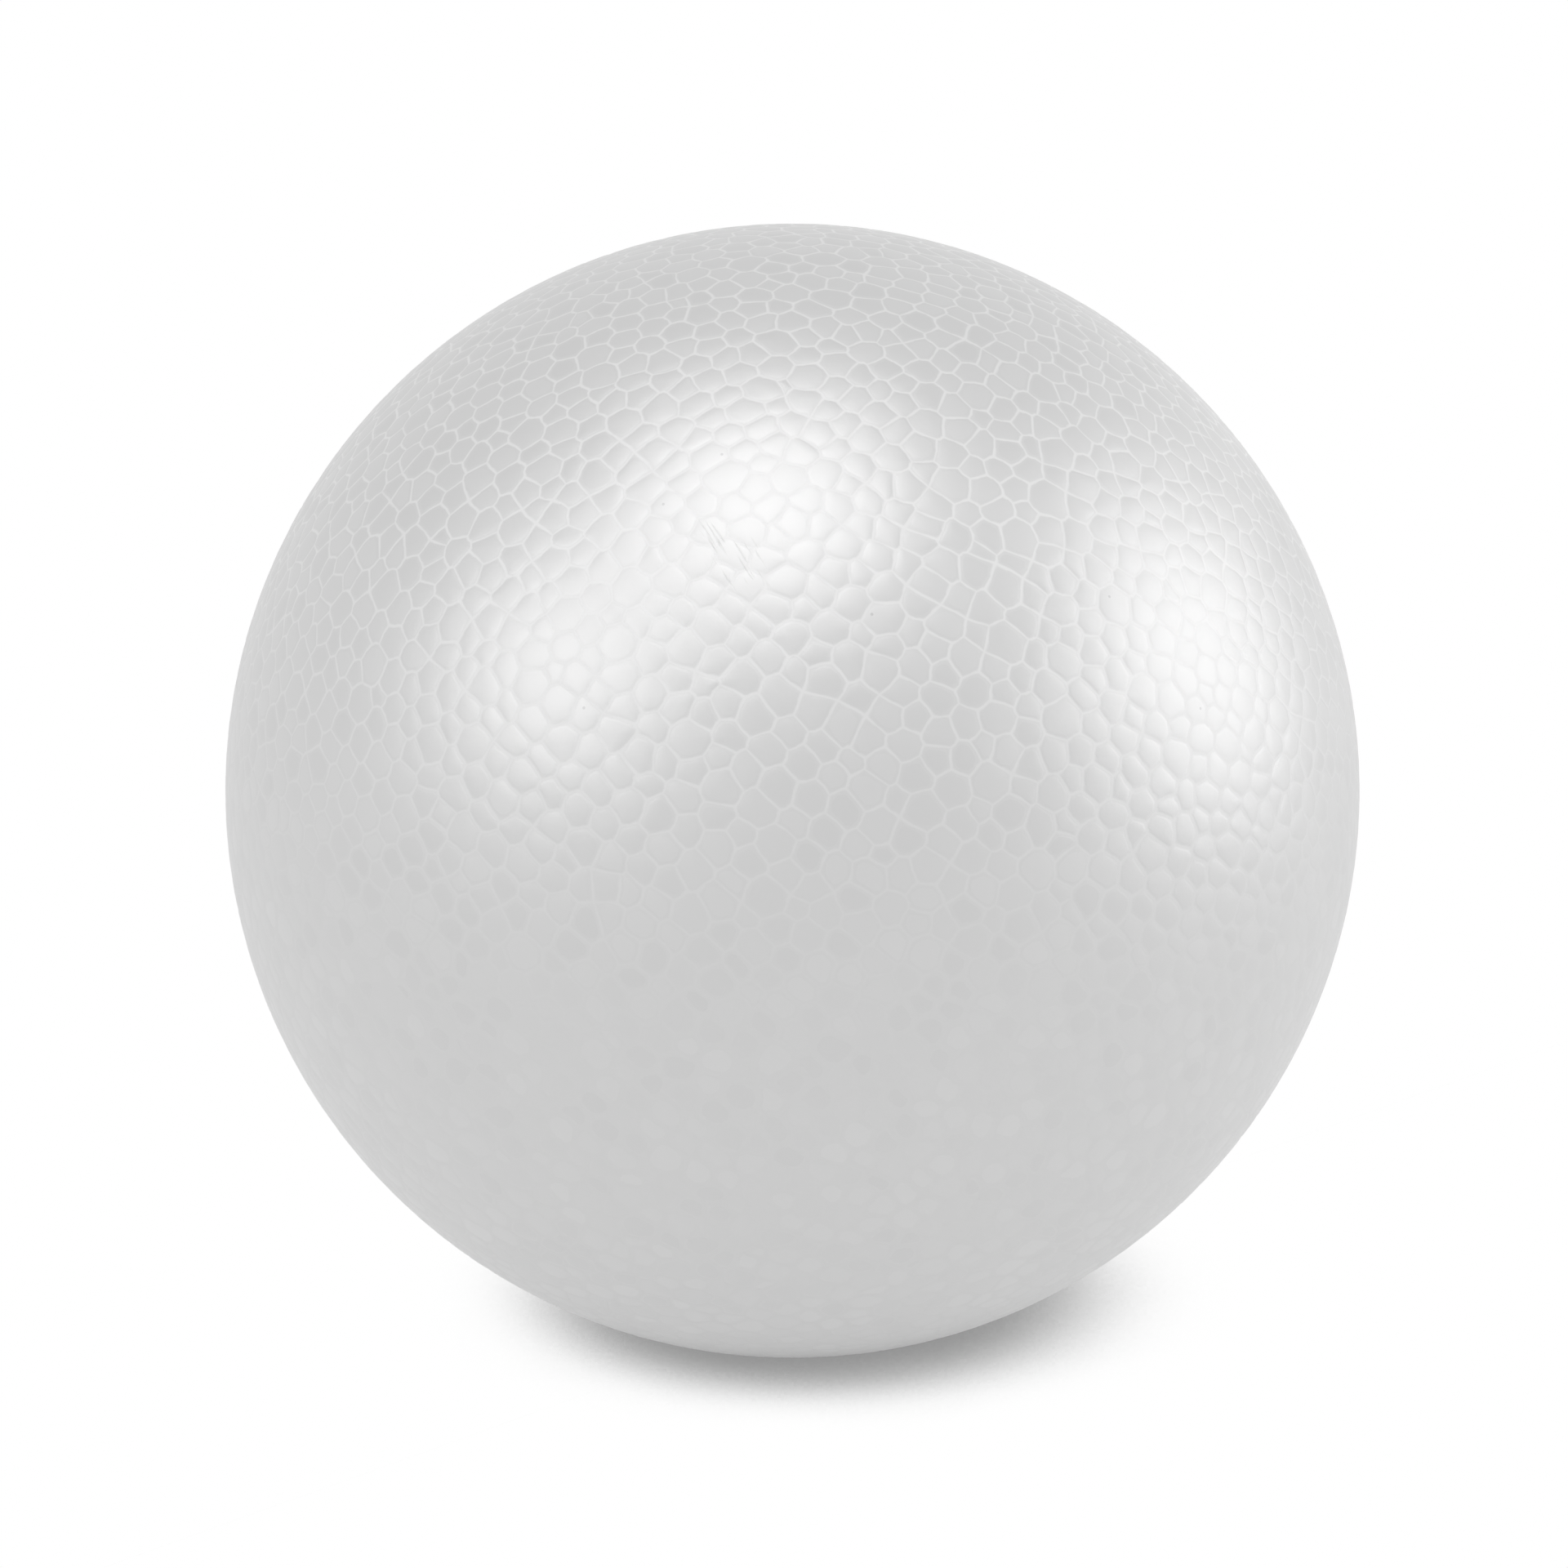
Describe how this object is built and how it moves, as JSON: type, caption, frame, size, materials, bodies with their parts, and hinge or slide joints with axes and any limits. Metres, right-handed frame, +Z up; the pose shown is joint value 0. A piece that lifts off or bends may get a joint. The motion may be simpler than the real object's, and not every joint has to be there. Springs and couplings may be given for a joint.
{
  "type": "polystyrene ball",
  "caption": "Solid ball moulded from white expanded polystyrene beads, with a low cushioned bead skin, for craft work, modelling, decorating and pinning.",
  "frame": {"origin": "centre of the ball", "axes": "+Z up as the picture shows the ball, and -Y towards the camera; the ball looks alike along every axis"},
  "size_m": [0.071, 0.0711, 0.071],
  "materials": {
    "foam": "moulded bead foam with a satin skin and paler matte seams"
  },
  "bodies": {
    "root": {"foam_ball": "foam"}
  },
  "joints": []
}
